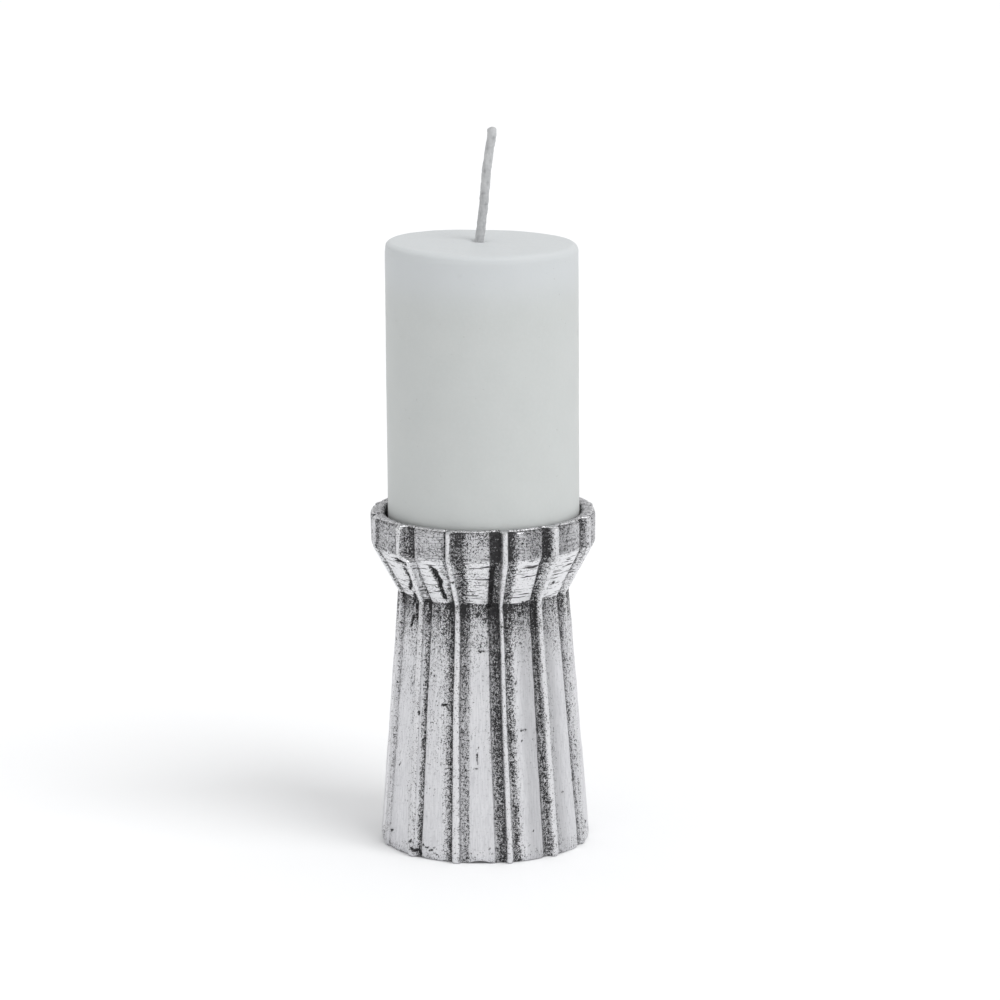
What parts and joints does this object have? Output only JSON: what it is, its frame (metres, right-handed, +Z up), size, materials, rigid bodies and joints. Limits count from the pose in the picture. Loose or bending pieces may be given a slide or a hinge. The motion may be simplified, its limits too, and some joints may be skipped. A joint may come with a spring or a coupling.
{
  "type": "candle holder",
  "caption": "Free-standing pleated cast-metal candle holder with a flared collar and a round cup, holding a pillar candle that lifts out.",
  "frame": {"origin": "on the holder's axis, on the surface that it stands on", "axes": "+Z up along the holder's axis, -Y towards the front"},
  "size_m": [0.0828, 0.0828, 0.264],
  "materials": {
    "cast_metal": "satin",
    "felt": "matte",
    "wax": "satin",
    "wick_cotton": "matte",
    "tinplate": "satin"
  },
  "bodies": {
    "holder": {"holder_casting": "cast_metal", "base_felt": "felt"},
    "candle": {"candle_wax": "wax", "wick": "wick_cotton", "wick_tab": "tinplate"}
  },
  "joints": [
    {"name": "candle_lift", "type": "slide", "parent": "holder", "child": "candle", "axis": [0, 0, 1], "range_m": [0, 0.03]}
  ]
}
